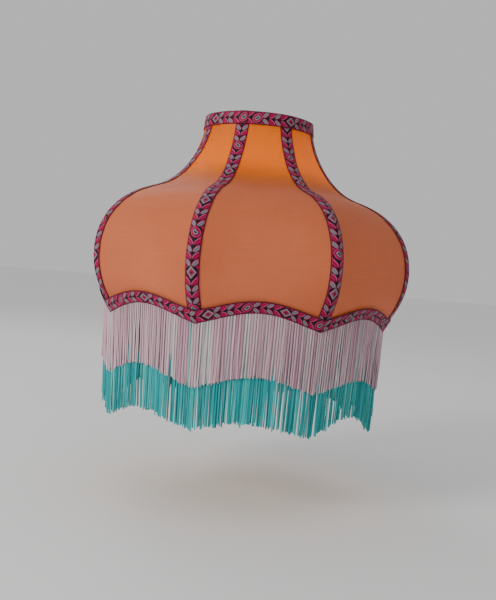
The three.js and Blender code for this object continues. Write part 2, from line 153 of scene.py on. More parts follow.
class Surface:
    """The outside of the silk. A place on it is a turn about the axis and a run down the nearest rib."""

    def __init__(self):
        points = node_points("cover_panel_1")
        turn = np.arctan2(points[:, 1], points[:, 0])
        rib = points[turn < -HALF_PANEL + 1.5 * MM / np.hypot(points[:, 0], points[:, 1])]
        middle = points[np.abs(turn) < 1e-4]
        self.rib_radius, self.rib_height = outline_of(rib)
        middle_radius, middle_height = outline_of(middle)
        steps = np.hypot(np.diff(self.rib_radius), np.diff(self.rib_height))
        self.runs = np.concatenate([[0], np.cumsum(steps)])
        self.length = self.runs[-1]
        self.trim = self.runs[1]
        self.radius = Spline(self.runs, self.rib_radius)
        self.height = Spline(self.runs, self.rib_height)
        flat = np.log(middle_radius / self.rib_radius) / math.log(math.cos(HALF_PANEL))
        self.flat = Spline(self.runs, flat)
        self.rise = Spline(self.runs, middle_height - self.rib_height)

    def __call__(self, turn, run, lift=0.0):
        """Points at the given turns, runs and lifts, which are arrays that fit each other."""
        turn, run, lift = np.broadcast_arrays(turn, run, lift)
        step = 0.5 * MM
        along_r = self.radius(run + step) - self.radius(run - step)
        along_z = self.height(run + step) - self.height(run - step)
        size = np.hypot(along_r, along_z)
        radius = self.radius(run) - along_z / size * lift
        height = self.height(run) + along_r / size * lift
        panel = np.round(turn / PANEL_TURN)
        local = turn - panel * PANEL_TURN
        radius = radius * (math.cos(HALF_PANEL) / np.cos(local)) ** self.flat(run)
        height = height + self.rise(run) * scallop(local / PANEL_TURN + 0.5)
        return np.stack([radius * np.cos(turn), radius * np.sin(turn), height], axis=-1)


surface = Surface()


# ---------------------------------------------------------------- meshes

def new_mesh(name, points, faces, uvs=None, tones=None, material=None):
    """An object of quads, with a UV for each point and a tone for each point if they are given."""
    points = np.asarray(points, np.float32).reshape(-1, 3)
    faces = np.asarray(faces, np.int32)
    sides = faces.shape[1]
    mesh = bpy.data.meshes.new(name)
    mesh.vertices.add(len(points))
    mesh.vertices.foreach_set("co", points.ravel())
    mesh.loops.add(faces.size)
    mesh.loops.foreach_set("vertex_index", faces.ravel())
    mesh.polygons.add(len(faces))
    mesh.polygons.foreach_set("loop_start", np.arange(0, faces.size, sides, dtype=np.int32))
    mesh.update(calc_edges=True)
    mesh.polygons.foreach_set("use_smooth", np.ones(len(faces), bool))
    if uvs is not None:
        layer = mesh.uv_layers.new(name="UVMap")
        layer.data.foreach_set("uv", np.asarray(uvs, np.float32).reshape(-1, 2)[faces.ravel()].ravel())
    if tones is not None:
        tone = mesh.attributes.new("tone", "FLOAT", "POINT")
        tone.data.foreach_set("value", np.asarray(tones, np.float32).ravel())
    mesh.validate()
    piece = bpy.data.objects.new(name, mesh)
    bpy.context.scene.collection.objects.link(piece)
    if material:
        mesh.materials.append(material)
    return piece


def grid_faces(rows, cols, offset=0, wrap=False):
    """Quads of a grid whose rows run down and columns run anticlockwise, facing out."""
    across = cols if wrap else cols - 1
    r, c = np.meshgrid(np.arange(rows - 1), np.arange(across), indexing="ij")
    n = (c + 1) % cols
    quads = [r * cols + c, (r + 1) * cols + c, (r + 1) * cols + n, r * cols + n]
    return offset + np.stack(quads, axis=-1).reshape(-1, 4)


def slab(name, outer, inner, uvs, material, wrap=False):
    """A closed sheet between two grids of points, rows by columns."""
    rows, cols = outer.shape[:2]
    count = rows * cols
    faces = [grid_faces(rows, cols, 0, wrap), grid_faces(rows, cols, count, wrap)[:, ::-1]]
    across = np.arange(cols if wrap else cols - 1)
    after = (across + 1) % cols
    last = (rows - 1) * cols
    faces.append(np.stack([across + count, across, after, after + count], axis=-1))
    low = last + across
    low_after = last + after
    faces.append(np.stack([low, low + count, low_after + count, low_after], axis=-1))
    if not wrap:
        down = np.arange(rows - 1) * cols
        faces.append(np.stack([down, down + count, down + cols + count, down + cols], axis=-1))
        end = down + cols - 1
        faces.append(np.stack([end + count, end, end + cols, end + cols + count], axis=-1))
    points = np.concatenate([outer.reshape(-1, 3), inner.reshape(-1, 3)])
    both = np.concatenate([uvs.reshape(-1, 2)] * 2)
    return new_mesh(name, points, np.concatenate(faces), both, material=material)


def path_lengths(points):
    """The length along a path up to each of its points."""
    return np.concatenate([[0], np.cumsum(np.linalg.norm(np.diff(points, axis=0), axis=-1))])


def tube_rings(path, radii, sides, closed=False):
    """Rings of points round a path. The radius is one number, or one for each point and side."""
    path = np.asarray(path, float)
    if closed:
        along = np.roll(path, -1, axis=0) - np.roll(path, 1, axis=0)
    else:
        along = np.gradient(path, axis=0)
    along /= np.linalg.norm(along, axis=-1, keepdims=True)
    out = path * [1, 1, 0]
    out -= (out * along).sum(-1, keepdims=True) * along
    out /= np.maximum(np.linalg.norm(out, axis=-1, keepdims=True), 1e-9)
    side = np.cross(along, out)
    angle = np.linspace(0, 2 * np.pi, sides, endpoint=False)
    radii = np.broadcast_to(radii, (len(path), sides))
    ring = out[:, None] * np.cos(angle)[None, :, None] + side[:, None] * np.sin(angle)[None, :, None]
    return path[:, None] + ring * radii[..., None]


# ---------------------------------------------------------------- materials

class Num:
    """A number in a material, worked out by nodes."""

    def __init__(self, tree, socket):
        self.tree, self.socket = tree, socket

    def make(self, operation, *others):
        node = self.tree.nodes.new("ShaderNodeMath")
        node.operation = operation
        for i, value in enumerate((self, *others)):
            if isinstance(value, Num):
                self.tree.links.new(value.socket, node.inputs[i])
            else:
                node.inputs[i].default_value = value
        return Num(self.tree, node.outputs[0])

    def __add__(self, other):
        return self.make("ADD", other)

    def __sub__(self, other):
        return self.make("SUBTRACT", other)

    def __mul__(self, other):
        return self.make("MULTIPLY", other)

    def __truediv__(self, other):
        return self.make("DIVIDE", other)

    def __mod__(self, other):
        return self.make("FLOORED_MODULO", other)

    def __abs__(self):
        return self.make("ABSOLUTE")

    def floor(self):
        return self.make("FLOOR")

    def sine(self):
        return self.make("SINE")

    def root(self):
        return self.make("SQRT")

    def under(self, other):
        return self.make("LESS_THAN", other)

    def over(self, other):
        return self.make("GREATER_THAN", other)

    def ramp(self, low, high):
        """0 below low, 1 above high, and smooth between them."""
        node = self.tree.nodes.new("ShaderNodeMapRange")
        node.interpolation_type = "SMOOTHSTEP"
        self.tree.links.new(self.socket, node.inputs[0])
        node.inputs[1].default_value, node.inputs[2].default_value = low, high
        return Num(self.tree, node.outputs[0])


def srgb(red, green, blue):
    """A colour for a node, from sRGB numbers of 0 to 255."""
    values = [c / 255 for c in (red, green, blue)]
    linear = [c / 12.92 if c <= 0.04045 else ((c + 0.055) / 1.055) ** 2.4 for c in values]
    return (*linear, 1.0)


class Paint:
    """A material and short ways to make its nodes."""

    def __init__(self, name, roughness=0.6, metallic=0.0, sheen=0.0, shine=0.5):
        self.material = bpy.data.materials.new(name)
        self.material.use_nodes = True
        self.tree = self.material.node_tree
        self.shader = self.tree.nodes["Principled BSDF"]
        self.shader.inputs["Roughness"].default_value = roughness
        self.shader.inputs["Metallic"].default_value = metallic
        self.shader.inputs["Sheen Weight"].default_value = sheen
        self.shader.inputs["Specular IOR Level"].default_value = shine

    def node(self, kind):
        return self.tree.nodes.new(kind)

    def link(self, socket, target):
        self.tree.links.new(socket, target)

    def uv(self):
        """The piece's own UVs in millimetres."""
        coordinate = self.node("ShaderNodeTexCoord")
        split = self.node("ShaderNodeSeparateXYZ")
        self.link(coordinate.outputs["UV"], split.inputs[0])
        return Num(self.tree, split.outputs[0]) * 1000, Num(self.tree, split.outputs[1]) * 1000

    def vector(self, x, y, z=0.0):
        join = self.node("ShaderNodeCombineXYZ")
        for i, value in enumerate((x, y, z)):
            if isinstance(value, Num):
                self.link(value.socket, join.inputs[i])
            else:
                join.inputs[i].default_value = value
        return join.outputs[0]

    def place(self):
        return self.node("ShaderNodeTexCoord").outputs["Object"]

    def noise(self, vector, scale=1.0, detail=3.0, rough=0.5):
        texture = self.node("ShaderNodeTexNoise")
        self.link(vector, texture.inputs["Vector"])
        texture.inputs["Scale"].default_value = scale
        texture.inputs["Detail"].default_value = detail
        texture.inputs["Roughness"].default_value = rough
        return Num(self.tree, texture.outputs[0])

    def attribute(self, name):
        node = self.node("ShaderNodeAttribute")
        node.attribute_name = name
        return Num(self.tree, node.outputs["Fac"])

    def mix(self, share, first, second):
        """A colour between two, which are colours or sockets."""
        node = self.node("ShaderNodeMix")
        node.data_type = "RGBA"
        if isinstance(share, Num):
            self.link(share.socket, node.inputs[0])
        else:
            node.inputs[0].default_value = share
        for socket, value in ((node.inputs[6], first), (node.inputs[7], second)):
            if isinstance(value, tuple):
                socket.default_value = value
            else:
                self.link(value, socket)
        return node.outputs[2]

    def ramp(self, share, *stops):
        """A colour from stops of (place, colour)."""
        node = self.node("ShaderNodeValToRGB")
        self.link(share.socket, node.inputs[0])
        elements = node.color_ramp.elements
        while len(elements) < len(stops):
            elements.new(0.5)
        for element, (at, colour) in zip(elements, stops):
            element.position, element.color = at, colour
        return node.outputs[0]

    def colour(self, socket):
        self.link(socket, self.shader.inputs["Base Color"])

    def roughness(self, number):
        self.link(number.socket, self.shader.inputs["Roughness"])

    def tinted(self, colour, light):
        """Sets the base colour to one colour multiplied by another."""
        tint = self.node("ShaderNodeMix")
        tint.data_type, tint.blend_type = "RGBA", "MULTIPLY"
        tint.inputs[0].default_value = 1
        self.link(colour, tint.inputs[6])
        self.link(light, tint.inputs[7])
        self.colour(tint.outputs[2])

    def bump(self, height, distance, strength=1.0):
        node = self.node("ShaderNodeBump")
        self.link(height.socket, node.inputs["Height"])
        node.inputs["Distance"].default_value = distance
        node.inputs["Strength"].default_value = strength
        self.link(node.outputs[0], self.shader.inputs["Normal"])
        return node.outputs[0]

    def let_light_through(self, share, colour, normal=None):
        """Mixes in light from behind the cloth."""
        behind = self.node("ShaderNodeBsdfTranslucent")
        self.link(colour, behind.inputs["Color"])
        if normal is not None:
            self.link(normal, behind.inputs["Normal"])
        both = self.node("ShaderNodeMixShader")
        both.inputs[0].default_value = share
        self.link(self.shader.outputs[0], both.inputs[1])
        self.link(behind.outputs[0], both.inputs[2])
        self.link(both.outputs[0], self.tree.nodes["Material Output"].inputs["Surface"])


def weave(x, y, pitch):
    """Height of a plain weave: threads over and under each other, pitch millimetres apart."""
    over = (x * (math.pi / pitch)).sine() * (y * (math.pi / pitch)).sine()
    return over * 0.5 + 0.5


def silk_material():
    paint = Paint("silk", roughness=0.5, sheen=0.04, shine=0.3)
    x, y = paint.uv()
    slub = paint.noise(paint.vector(x * 0.018, y * 1.4), detail=4, rough=0.6)
    warp = paint.noise(paint.vector(x * 1.6, y * 0.03), detail=2)
    cloud = paint.noise(paint.place(), scale=9, detail=3)
    tone = slub * 0.45 + warp * 0.2 + cloud * 0.35
    salmon = paint.ramp(
        tone,
        (0.32, srgb(198, 106, 68)),
        (0.5, srgb(213, 122, 84)),
        (0.68, srgb(223, 140, 104)),
    )
    # Painted glow: the silk is painted a deeper amber down the neck, as far as the shoulder, in place of
    # the light from inside that shines through it there.
    painted_neck_glow = paint.ramp(
        tone,
        (0.32, srgb(166, 82, 2)),
        (0.5, srgb(180, 98, 8)),
        (0.68, srgb(194, 118, 20)),
    )
    # The painted neck glow fades into the silk's own salmon between 75 and 130 mm down.
    paint.colour(paint.mix(y.ramp(75, 130), painted_neck_glow, salmon))
    rough = paint.noise(paint.vector(x * 0.05, y * 2.0), detail=2)
    paint.roughness(rough * 0.25 + 0.38)
    height = slub.ramp(0.45, 0.75) * 0.8 + weave(x, y, 0.4) * 0.2
    normal = paint.bump(height, 0.12 * MM, 0.5)
    glow = paint.mix(tone, srgb(250, 148, 14), srgb(255, 172, 44))
    paint.let_light_through(0.4, glow, normal)
    return paint.material


def lining_material():
    paint = Paint("lining_cloth", roughness=0.8, shine=0.2)
    x, y = paint.uv()
    cloud = paint.noise(paint.place(), scale=14, detail=4)
    colour = paint.ramp(cloud, (0.35, srgb(226, 204, 178)), (0.65, srgb(240, 222, 200)))
    paint.colour(colour)
    normal = paint.bump(weave(x, y, 0.55), 0.1 * MM, 0.5)
    through = paint.mix(cloud, srgb(250, 206, 130), srgb(255, 218, 150))
    paint.let_light_through(0.45, through, normal)
    return paint.material


def oval(along, across, angle, long, short):
    """Squared distance from an oval's centre, 1 on its rim."""
    turn = math.radians(angle)
    a = along * math.cos(turn) + across * math.sin(turn)
    b = across * math.cos(turn) - along * math.sin(turn)
    a, b = a / long, b / short
    return a * a + b * b


RIBBON_REPEAT = 42.0
FLOWER_HALF = 6.4
DARK, PLUM, CRIMSON = srgb(30, 4, 24), srgb(84, 0, 44), srgb(184, 0, 78)
PALE, GREY, SLATE = srgb(206, 96, 140), srgb(142, 130, 142), srgb(84, 78, 90)


def ribbon_leaves(paint, along, side):
    """Colour of the stem and its pairs of leaves, and where the leaves are."""
    leaf_step, angle = 7.3, 42
    lean = math.radians(angle)
    run = (along + (RIBBON_REPEAT / 2 - FLOWER_HALF)) % RIBBON_REPEAT
    kind = ((run / leaf_step).floor() % 2).over(0.5)
    at = run % leaf_step - leaf_step * 0.52
    rim = oval(at, side - 4.0, angle, 5.0, 2.25)
    leaf = oval(at + 0.5, side - 4.15, angle, 4.5, 2.0)
    vein = abs((side - 4.1) * math.cos(lean) - (at + 0.45) * math.sin(lean))
    bract = oval(at - 1.5, side - 6.9, 15, 2.1, 1.05)
    fill = paint.mix(kind, GREY, CRIMSON)
    fill = paint.mix(vein.under(0.3), fill, paint.mix(kind, SLATE, PLUM))
    colour = paint.mix((side - 2.9 + abs(at) * 0.3).ramp(-0.6, 0.9), DARK, PLUM)
    colour = paint.mix(bract.under(1), colour, paint.mix(kind, CRIMSON, SLATE))
    colour = paint.mix(rim.under(1.3), colour, DARK)
    colour = paint.mix(rim.under(0.95), colour, paint.mix(kind, CRIMSON, PALE))
    colour = paint.mix(leaf.under(1), colour, fill)
    return paint.mix(side.under(0.5), colour, DARK), leaf.under(1)


def ribbon_flower(paint, along, y, side, pointed):
    """Colour of a flower, round or pointed, and where its petals are."""
    reach = (along * along + y * y).root()
    lobe = (along / (reach + 0.01)) * (y / (reach + 0.01)) * 4
    petal = reach - lobe.sine() * 0.6
    point = abs(along) * 0.82 + side
    shape = petal * (pointed * -1 + 1) + point * pointed
    colour = paint.mix(shape.under(5.7), DARK, PALE)
    colour = paint.mix(shape.under(5.35), colour, paint.mix(pointed, CRIMSON, GREY))
    colour = paint.mix(shape.under(3.65), colour, paint.mix(pointed, PLUM, SLATE))
    colour = paint.mix(shape.under(2.9), colour, paint.mix(pointed, GREY, CRIMSON))
    colour = paint.mix(shape.under(1.3), colour, DARK)
    return paint.mix((side + abs(along)).over(10.2), colour, CRIMSON), shape.under(5.5)


def ribbon_material():
    """A woven ribbon: a stem with pairs of leaves, and flowers that are in turn round and pointed."""
    paint = Paint("woven_ribbon", roughness=0.6, shine=0.22)
    x, y = paint.uv()
    side, along = abs(y), x % RIBBON_REPEAT
    from_flower = along - RIBBON_REPEAT / 2
    in_flower = abs(from_flower).under(FLOWER_HALF)
    pointed = ((x % (2 * RIBBON_REPEAT)) / RIBBON_REPEAT).floor()
    leaves, on_leaf = ribbon_leaves(paint, along, side)
    flower, on_petal = ribbon_flower(paint, from_flower, y, side, pointed)
    colour = paint.mix(in_flower, leaves, flower)
    edge_at = RIBBON_WIDTH / MM / 2
    colour = paint.mix(side.over(edge_at - 1.25), colour, CRIMSON)
    colour = paint.mix(side.over(edge_at - 0.75), colour, DARK)
    shade = paint.noise(paint.vector(x * 0.9, y * 2.6), detail=2)
    paint.tinted(colour, paint.mix(shade.ramp(0.3, 0.7), srgb(205, 205, 205), srgb(255, 255, 255)))
    rib = ((x * (math.pi / 0.32)).sine() * 0.5 + 0.5) * 0.35
    relief = (on_leaf * (in_flower * -1 + 1) + in_flower * on_petal) * 0.65 + rib
    paint.bump(relief, 0.3 * MM, 0.7)
    return paint.material


def strand_material(name, stops, sheen):
    """Twisted silky strands, each with a tone of its own."""
    paint = Paint(name, roughness=0.5, sheen=sheen, shine=0.35)
    x, y = paint.uv()
    tone = paint.attribute("tone")
    ply = ((x * (2 * math.pi) + y * (2 * math.pi / 1.7)).sine()) * 0.5 + 0.5
    mottle = paint.noise(paint.vector(x, y * 0.08, tone * 37), detail=2)
    base = paint.ramp(tone + (mottle - 0.5) * 0.35, *stops)
    shadow = paint.mix(ply.ramp(0.0, 0.55), srgb(176, 176, 176), srgb(255, 255, 255))
    paint.tinted(base, shadow)
    paint.bump(ply, 0.25 * MM, 0.8)
    return paint.material


def tape_material(name, colour, other):
    paint = Paint(name, roughness=0.85, shine=0.2)
    x, y = paint.uv()
    cloud = paint.noise(paint.place(), scale=60, detail=4)
    paint.colour(paint.ramp(cloud, (0.3, colour), (0.7, other)))
    paint.bump(weave(x, y, 0.7), 0.2 * MM, 0.7)
    return paint.material


def metal_material(name, colour, other, roughness):
    paint = Paint(name, roughness=roughness, metallic=1.0)
    brushed = paint.noise(paint.place(), scale=350, detail=5)
    cloud = paint.noise(paint.place(), scale=40, detail=4)
    paint.colour(paint.ramp(cloud, (0.3, colour), (0.72, other)))
    paint.roughness(cloud * 0.25 + (roughness - 0.08))
    paint.bump(brushed, 0.05 * MM, 0.3)
    return paint.material


SILK = silk_material()
LINING = lining_material()
RIBBON = ribbon_material()
PINK = strand_material("pink_strands", [
    (0.0, srgb(196, 148, 170)),
    (0.35, srgb(220, 176, 192)),
    (0.62, srgb(234, 202, 210)),
    (0.84, srgb(238, 228, 230)),
    (0.95, srgb(150, 202, 198)),
], 0.1)
TEAL = strand_material("teal_strands", [
    (0.0, srgb(0, 132, 138)),
    (0.4, srgb(0, 178, 182)),
    (0.75, srgb(56, 204, 204)),
    (1.0, srgb(160, 224, 218)),
], 0.05)
BINDING = tape_material("cotton_binding", srgb(214, 200, 176), srgb(236, 226, 206))
PINK_TAPE = tape_material("pink_tape", srgb(184, 136, 154), srgb(206, 164, 178))
TEAL_TAPE = tape_material("teal_tape", srgb(10, 118, 122), srgb(40, 152, 154))
BRASS = metal_material("satin_brass", srgb(196, 152, 84), srgb(170, 126, 66), 0.32)
STEEL = metal_material("rivet_metal", srgb(170, 166, 160), srgb(132, 128, 124), 0.35)


# ---------------------------------------------------------------- camera

belly_radius = max(np.hypot(*node_points("rib_ribbon_1")[:, :2].T))
top_height = surface.rib_height[0]


def make_camera():
    data = bpy.data.cameras.new("camera")
    data.lens, data.sensor_width, data.sensor_fit = LENS_MM, 36, "AUTO"
    camera = bpy.data.objects.new("camera", data)
    bpy.context.scene.collection.objects.link(camera)
    bpy.context.scene.camera = camera
    azimuth = math.radians(CAMERA_AZIMUTH)
    back = Vector((math.sin(azimuth), -math.cos(azimuth), 0))
    right = Vector((math.cos(azimuth), math.sin(azimuth), 0))
    distance = CAMERA_DISTANCE * belly_radius
    camera.location = back * distance + Vector((0, 0, top_height - CAMERA_UNDER_TOP * belly_radius))
    forward = -back + right * math.tan(math.radians(CAMERA_YAW))
    forward = (forward + Vector((0, 0, math.tan(math.radians(CAMERA_PITCH))))).normalized()
    across = forward.cross(Vector((0, 0, 1))).normalized()
    up = across.cross(forward)
    roll = math.radians(CAMERA_ROLL)
    rolled_up = up * math.cos(roll) - across * math.sin(roll)
    rolled_across = across * math.cos(roll) + up * math.sin(roll)
    camera.rotation_mode = "QUATERNION"
    camera.rotation_quaternion = Matrix((rolled_across, rolled_up, -forward)).transposed().to_quaternion()
    data.clip_start, data.clip_end = 0.01, 50


make_camera()


# ---------------------------------------------------------------- cloth

def grid_uv(turns, runs):
    """UVs in metres: across a panel at its own width, and down it."""
    x = turns * surface.radius(runs)
    return np.stack(np.broadcast_arrays(x, runs), axis=-1)


def ride_as(piece, body, node):
    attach(piece, body)
    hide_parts(node)


def panel_grid(panel, lift, cols, rows, from_run, to_run, draw):
    """A panel's points, drawn in by a fine ripple where the cloth is pulled over the ribs."""
    inset = 0.25 * MM
    share = np.linspace(-1, 1, cols)
    runs = np.linspace(from_run, to_run, rows)[:, None]
    half = HALF_PANEL - inset / surface.radius(runs)
    turns = share[None, :] * half
    edge = np.abs(share)[None, :] ** 6
    phase = 2.1 * panel
    slow = 1.3 * np.sin(runs / (11 * MM) + phase)
    ripple = np.sin(runs / (4.2 * MM) + phase + slow) * edge * (1 - edge) * 4
    soft = np.sin(turns * 9 + phase) * np.sin(runs / (37 * MM) + phase) * (1 - edge)
    lifts = lift + draw * (PUCKER * ripple + SWELL * soft)
    points = surface(turns + panel * PANEL_TURN, runs, lifts)
    return points, grid_uv(turns, runs)


def flat_size(points):
    """The width and length of the rectangle that the cut fits in, and the cut's own area."""
    across = np.linalg.norm(np.diff(points, axis=1), axis=-1).sum(1)
    down = np.linalg.norm(np.diff(points, axis=0), axis=-1).sum(0)
    a, b = points[1:, 1:] - points[:-1, :-1], points[1:, :-1] - points[:-1, 1:]
    area = np.linalg.norm(np.cross(a, b), axis=-1).sum() / 2
    width, length = float(across.max()), float(down.max())
    return (width, length), min(float(area), 0.999 * width * length)


def build_panels():
    for k in range(RIBS):
        points, uvs = panel_grid(k, SILK_LIFT, 49, 121, PANEL_TOP, surface.length - PANEL_FOOT, 1.0)
        cover = new_mesh(f"silk_panel_{k + 1}", points, grid_faces(121, 49), uvs, material=SILK)
        ride_as(cover, "shade", f"cover_panel_{k + 1}")
        flat, area = flat_size(points)
        points, uvs = panel_grid(k, LINING_LIFT, 33, 73, PANEL_TOP, surface.length - PANEL_FOOT, 0.6)
        lining = new_mesh(f"lining_{k + 1}", points, grid_faces(73, 33), uvs, material=LINING)
        ride_as(lining, "shade", f"lining_panel_{k + 1}")
        flat, area = flat_size(points)


def crown(across, width, height):
    """A slight rise towards the middle of a ribbon, with its edges pressed down."""
    return height * (1 - np.abs(2 * across / width) ** 3)


def build_rib_ribbons():
    rows, cols = 150, 13
    width = RIBBON_WIDTH
    runs = np.linspace(surface.trim - OVERLAP, surface.length - surface.trim + OVERLAP, rows)[:, None]
    across = np.linspace(-width / 2, width / 2, cols)[None, :]
    for k in range(RIBS):
        sway = 0.25 * MM * np.sin(runs / (31 * MM) + 2.4 * k)
        turns = -HALF_PANEL + k * PANEL_TURN + (across + sway) / surface.radius(runs)
        lift = RIB_RIBBON_LIFT + 0.12 * MM * np.sin(runs / (7 * MM) + k) * np.abs(2 * across / width) ** 2
        rise = crown(across, width, RIBBON_THICK * 0.45)
        outer = surface(turns, runs, lift + RIBBON_THICK * 0.55 + rise)
        inner = surface(turns, runs, lift)
        start = 11 * MM * k
        uvs = np.stack(np.broadcast_arrays(start - runs, -across), axis=-1)
        trim = slab(f"rib_ribbon_cloth_{k + 1}", outer, inner, uvs, RIBBON)
        ride_as(trim, "shade", f"rib_ribbon_{k + 1}")


def over_ribbons(turns, runs):
    """1 where a rib's ribbon lies underneath, 0 beside it, with soft shoulders."""
    shoulder = 2.2 * MM
    local = (turns + HALF_PANEL) / PANEL_TURN
    away = np.abs(local - np.round(local)) * PANEL_TURN * surface.radius(runs)
    t = np.clip((RIBBON_WIDTH / 2 + shoulder - away) / shoulder, 0, 1)
    return t * t * (3 - 2 * t)


def round_ribbon(name, node, material, from_run, to_run, lift, thick, lap=0.0, start=0.0, dip=0.0):
    """A band round the whole shade. With lap, its end lies over its start for that length."""
    radius = float(surface.radius(np.array(from_run)))
    lap_turn = lap / radius
    cols = 360 if lap else 640
    rows = 13
    turns = start + np.linspace(0, 2 * math.pi + lap_turn, cols, endpoint=bool(lap))[None, :]
    share = np.linspace(0, 1, rows)[:, None]
    runs = from_run + (to_run - from_run) * share
    width = to_run - from_run
    across = (share - 0.5) * width
    lifts = lift + dip * (over_ribbons(turns, runs) - 1)
    if lap:
        after = np.clip((turns - start - 2 * math.pi + 4 * MM / radius) / (6 * MM / radius), 0, 1)
        lifts = lifts + after ** 2 * (3 - 2 * after) * (thick + 0.15 * MM)
    outer = surface(turns, runs, lifts + thick * 0.55 + crown(across, width, thick * 0.45))
    inner = surface(turns, runs, lifts)
    middle = outer[rows // 2]
    ends = middle if lap else np.concatenate([middle, middle[:1]])
    along = path_lengths(ends)
    length = float(along[-1])
    if not lap:
        along = along[:-1]
    uvs = np.stack(np.broadcast_arrays(along[None, :], -across), axis=-1)
    piece = slab(name, outer, inner, uvs, material, wrap=not lap)
    ride_as(piece, "shade", node)
    return piece, (width, length)


def build_bands():
    length, trim = surface.length, surface.trim
    joint = -math.pi / 2 - HALF_PANEL - 3 * MM / surface.rib_radius[0]
    top, flat = round_ribbon("top_ribbon_cloth", "top_ribbon", RIBBON, 0, trim,
                             SECOND_LIFT, RIBBON_THICK, lap=9 * MM, start=joint, dip=0.55 * MM)
    from_run = length - HEADING_HEIGHT
    teal, _ = round_ribbon("teal_heading_tape", "teal_fringe_heading", TEAL_TAPE,
                           from_run, length - 0.3 * MM, RIB_RIBBON_LIFT, TAPE_THICK)
    pink, _ = round_ribbon("pink_heading_tape", "pink_fringe_heading", PINK_TAPE,
                           from_run, length - 0.3 * MM, SECOND_LIFT, TAPE_THICK)
    bottom, flat = round_ribbon("bottom_ribbon_cloth", "bottom_ribbon", RIBBON,
                                length - trim, length + 0.6 * MM, THIRD_LIFT, RIBBON_THICK)
    return bottom, flat, teal, pink


# ---------------------------------------------------------------- fringes

STRAND_SIDES, STRAND_STEPS, LOOP_STEPS = 5, 9, 4
ROW_GAP = 1.1 * MM


def smooth_noise(turns, waves, seed):
    """A smooth wobble round the shade, between about -1 and 1."""
    draw = np.random.default_rng(seed)
    sines = 7
    counts = draw.integers(waves[0], waves[1], sines)
    phases = draw.uniform(0, 2 * np.pi, sines)
    return sum(np.sin(n * turns + p) for n, p in zip(counts, phases)) / 3.2


def leg_path(turn, sign, gap_turn, depth, own, slope, side, phase):
    """One leg of a loop, from under the heading down to where the loop turns round."""
    drop = np.linspace(0, 1, STRAND_STEPS)
    spread = gap_turn * (0.5 * (1 - drop ** 3) + 0.4 * drop ** 3)
    at = turn + sign * spread + side * drop ** 2.6 / surface.rib_radius[-1]
    root = turn + sign * gap_turn * 0.5
    top = surface(root, surface.length - 3 * MM, depth)
    edge = surface(root, surface.length, depth)
    reach = np.hypot(edge[0], edge[1]) - own * drop * slope
    reach = reach + 0.35 * MM * np.sin(drop * 9 + phase) * drop
    path = np.stack([reach * np.cos(at), reach * np.sin(at), edge[2] - own * drop], -1)
    return np.concatenate([top[None, :], path])


def loop_path(left, right):
    """Both legs and the round end that joins them."""
    middle, half = (left[-1] + right[-1]) / 2, (right[-1] - left[-1]) / 2
    arc = np.linspace(math.pi, 0, LOOP_STEPS + 2)[1:-1, None]
    bow = max(np.linalg.norm(half), 0.5 * MM)
    end = middle + half * np.cos(arc) + np.array([0, 0, -bow]) * np.sin(arc)
    return np.concatenate([left, end, right[::-1]])


def strand_parts(path, radius, tone):
    """Points, UVs and tones of one strand."""
    rings = tube_rings(path, radius, STRAND_SIDES)
    around = np.arange(STRAND_SIDES) / STRAND_SIDES * MM
    uvs = np.stack(np.broadcast_arrays(around[None, :], path_lengths(path)[:, None]), -1)
    return rings.reshape(-1, 3), uvs.reshape(-1, 2), np.full(len(path) * STRAND_SIDES, tone)


def build_fringe(name, node, material, lift, loops, length, lean, radius, seed):
    """Loops of twisted strand in two rows, hanging from the heading under the lower ribbon."""
    draw = np.random.default_rng(seed)
    turns = (np.arange(loops) + draw.uniform(-0.12, 0.12, loops)) * 2 * np.pi / loops
    clump = smooth_noise(turns, (50, 190), seed + 1)
    swing = smooth_noise(turns, (12, 60), seed + 2)
    sag = smooth_noise(turns, (2, 12), seed + 3)
    parts = []
    for i, turn in enumerate(turns):
        own = length * (0.975 + 0.025 * sag[i] + draw.normal(0, 0.01))
        slope = math.tan(math.radians(lean + draw.normal(0, 0.5) + 0.9 * swing[i]))
        side = (0.7 * clump[i] + 0.35 * draw.normal()) * MM
        tone = np.clip(draw.beta(2.2, 2.2) + 0.12 * swing[i], 0, 1)
        hang = (math.pi / loops, lift - (i % 2) * ROW_GAP, own, slope, side)
        left = leg_path(turn, -1, *hang, i * 1.7)
        right = leg_path(turn, 1, *hang, i * 1.7 + 1)
        parts.append(strand_parts(loop_path(left, right), radius, tone))
    points, uvs, tones = (np.concatenate(part) for part in zip(*parts))
    count = len(parts[0][0])
    rows = count // STRAND_SIDES
    faces = [grid_faces(rows, STRAND_SIDES, i * count, wrap=True) for i in range(loops)]
    strands = new_mesh(name, points, np.concatenate(faces), uvs, tones, material)
    ride_as(strands, "shade", node)
    return strands


def fringe_length(node):
    """How far a fringe hangs below the ribbon's lowest corner."""
    return float(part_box("bottom_ribbon")[0][2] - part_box(node)[0][2])


# ---------------------------------------------------------------- wires and fitter

def bound_wire(name, node, path, closed=False):
    """A wire with cotton tape wound round it, each turn lapping the last."""
    sides = 12
    path = np.asarray(path, float)
    ends = np.concatenate([path, path[:1]]) if closed else path
    along = path_lengths(ends)
    total = along[-1]
    along = along[:-1] if closed else along
    turns = round(total / TAPE_PITCH)
    angle = np.arange(sides) / sides
    lap = (along[:, None] / total * turns + angle[None, :]) % 1
    radii = WIRE_RADIUS + TAPE_LAP * lap ** 3
    rings = tube_rings(path, radii, sides, closed)
    points = rings.reshape(-1, 3)
    uvs = np.stack(np.broadcast_arrays(angle[None, :] * 2 * math.pi * WIRE_RADIUS, along[:, None]), -1)
    if closed:
        faces = grid_faces(len(path) + 1, sides, 0, wrap=True) % (len(path) * sides)
        wire = new_mesh(name, points, faces, uvs, material=BINDING)
    else:
        wire = new_mesh(name, points, grid_faces(len(path), sides, 0, wrap=True), uvs, material=BINDING)
        cap_wire(wire, sides)
    ride_as(wire, "shade", node)


